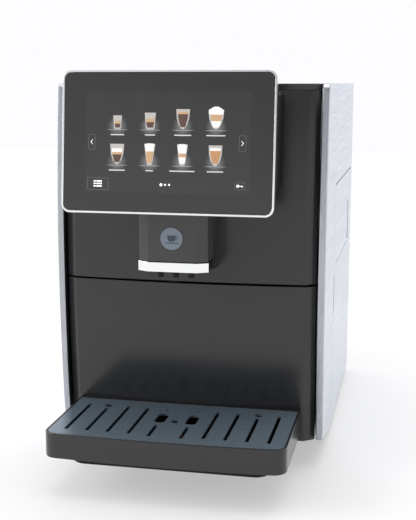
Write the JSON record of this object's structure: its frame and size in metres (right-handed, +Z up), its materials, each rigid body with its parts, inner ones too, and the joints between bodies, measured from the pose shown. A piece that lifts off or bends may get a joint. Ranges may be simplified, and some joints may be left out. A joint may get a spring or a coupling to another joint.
{
  "type": "hot coffee vending machine",
  "caption": "Countertop bean-to-cup coffee machine with a wide touch screen, a sliding spout over a slotted drip tray, and brushed metal sides.",
  "frame": {"origin": "middle of the footprint, on the surface that the machine stands on", "axes": "-Y to the front, where the screen and tray are; +X to the right seen from the front; +Z up"},
  "size_m": [0.3, 0.5312, 0.4353],
  "materials": {
    "satin_black": "satin lacquered moulding",
    "matte_black": "fine textured moulding",
    "brushed_aluminium": "brushed and clear anodised",
    "chrome": "polished plating",
    "screen_glass": "smooth tinted glass",
    "tinted_steel": "blue grey, fine brushed",
    "rubber": "plain moulded",
    "clear_plastic": "clear moulding",
    "smoked_plastic": "smoked clear moulding",
    "white_plastic": "moulded",
    "grey_plastic": "moulded",
    "steel": "turned",
    "cast_aluminium": "die cast",
    "circuit_board": "solder mask",
    "silicone": "extruded tube",
    "badge": "printed disc",
    "red_plastic": "moulded"
  },
  "bodies": {
    "cabinet": {"upper_front_panel": "satin_black", "top_cover": "satin_black", "spout_guide": "satin_black", "base_pan": "matte_black", "rear_panel": "matte_black", "power_inlet": "matte_black", "head_housing": "matte_black", "left_trim": "brushed_aluminium", "right_trim": "brushed_aluminium", "left_side_panel": "brushed_aluminium", "right_side_panel": "brushed_aluminium", "screen_frame": "brushed_aluminium", "screen_glass": "screen_glass", "foot_front_left": "rubber", "foot_front_right": "rubber", "foot_rear_left": "rubber", "foot_rear_right": "rubber", "bean_hopper": "smoked_plastic", "coffee_chute": "smoked_plastic", "brew_frame": "white_plastic", "chassis_deck": "grey_plastic", "chassis_wall": "grey_plastic", "grinder_motor": "grey_plastic", "tank_seat": "grey_plastic", "water_pump": "grey_plastic", "brew_gearbox": "grey_plastic", "door_hinge_pin": "steel", "upper_burr": "steel", "brew_cylinder": "steel", "grinder_housing": "cast_aluminium", "thermoblock": "cast_aluminium", "display_panel": "circuit_board", "power_board": "circuit_board", "hose_tank": "silicone", "hose_pump": "silicone", "hose_brew": "silicone", "hose_coffee": "silicone"},
    "drawer": {"lower_front_panel": "satin_black", "drawer_cradle": "matte_black"},
    "tray": {"drip_tray": "satin_black"},
    "grille": {"drip_grille": "tinted_steel"},
    "float": {"tray_float": "red_plastic"},
    "bin": {"grounds_bin": "matte_black"},
    "spout": {"spout_cover": "satin_black", "spout_band": "chrome", "spout_manifold": "matte_black", "nozzle_left": "matte_black", "nozzle_middle": "matte_black", "nozzle_right": "matte_black", "spout_badge": "badge"},
    "door": {"service_door": "brushed_aluminium"},
    "bean_lid": {"hopper_lid": "satin_black"},
    "tank": {"water_tank": "clear_plastic"},
    "tank_cover": {"tank_lid": "satin_black"},
    "dial": {"grind_dial": "grey_plastic"},
    "rocker": {"power_switch": "red_plastic"},
    "burr": {"lower_burr": "steel"},
    "spindle": {"brew_spindle": "steel"},
    "low_piston": {"lower_piston": "white_plastic"},
    "high_piston": {"upper_piston": "steel"}
  },
  "joints": [
    {"name": "drawer_slide", "type": "slide", "parent": "cabinet", "child": "drawer", "axis": [0, -1, 0], "range_m": [0, 0.14]},
    {"name": "tray_pull", "type": "slide", "parent": "drawer", "child": "tray", "axis": [0, -1, 0], "range_m": [0, 0.06]},
    {"name": "grille_lift", "type": "slide", "parent": "tray", "child": "grille", "axis": [0, 0, 1], "range_m": [0, 0.03]},
    {"name": "float_rise", "type": "slide", "parent": "tray", "child": "float", "axis": [0, 0, 1], "range_m": [0, 0.012]},
    {"name": "bin_lift", "type": "slide", "parent": "drawer", "child": "bin", "axis": [0, 0, 1], "range_m": [0, 0.05]},
    {"name": "spout_slide", "type": "slide", "parent": "cabinet", "child": "spout", "axis": [0, 0, 1], "range_m": [-0.055, 0]},
    {"name": "door_hinge", "type": "hinge", "parent": "cabinet", "child": "door", "pos_m": [0.146, 0.2616, 0.15], "axis": [0, 0, 1], "range_deg": [0, 100]},
    {"name": "bean_lid_hinge", "type": "hinge", "parent": "cabinet", "child": "bean_lid", "pos_m": [0.055, 0.1218, 0.4191], "axis": [-1, 0, 0], "range_deg": [0, 100]},
    {"name": "tank_lift", "type": "slide", "parent": "cabinet", "child": "tank", "axis": [0, 0, 1], "range_m": [0, 0.305]},
    {"name": "tank_lid_hinge", "type": "hinge", "parent": "tank", "child": "tank_cover", "pos_m": [-0.084, 0.2538, 0.4191], "axis": [-1, 0, 0], "range_deg": [0, 100]},
    {"name": "grind_dial_turn", "type": "hinge", "parent": "cabinet", "child": "dial", "pos_m": [-0.003, 0.0306, 0.405], "axis": [0, 0, 1], "range_deg": [-135, 135]},
    {"name": "power_switch_rock", "type": "hinge", "parent": "cabinet", "child": "rocker", "pos_m": [0.102, 0.2616, 0.057], "axis": [1, 0, 0], "range_deg": [-8, 8]},
    {"name": "burr_spin", "type": "hinge", "parent": "cabinet", "child": "burr", "pos_m": [0.078, 0.0356, 0.25], "axis": [0, 0, 1], "continuous": true},
    {"name": "brew_spindle_turn", "type": "hinge", "parent": "cabinet", "child": "spindle", "pos_m": [0.12, 0.1006, 0.1], "axis": [0, 0, 1], "range_deg": [0, 1261]},
    {"name": "lower_piston_slide", "type": "slide", "parent": "cabinet", "child": "low_piston", "axis": [0, 0, 1], "range_m": [0, 0.028]},
    {"name": "upper_piston_slide", "type": "slide", "parent": "cabinet", "child": "high_piston", "axis": [0, 0, 1], "range_m": [-0.026, 0]}
  ],
  "couplings": [
    {"joint": "brew_spindle_turn", "follows": "lower_piston_slide", "rad_per_m": 785.4},
    {"joint": "upper_piston_slide", "follows": "lower_piston_slide", "ratio": -0.9285}
  ]
}
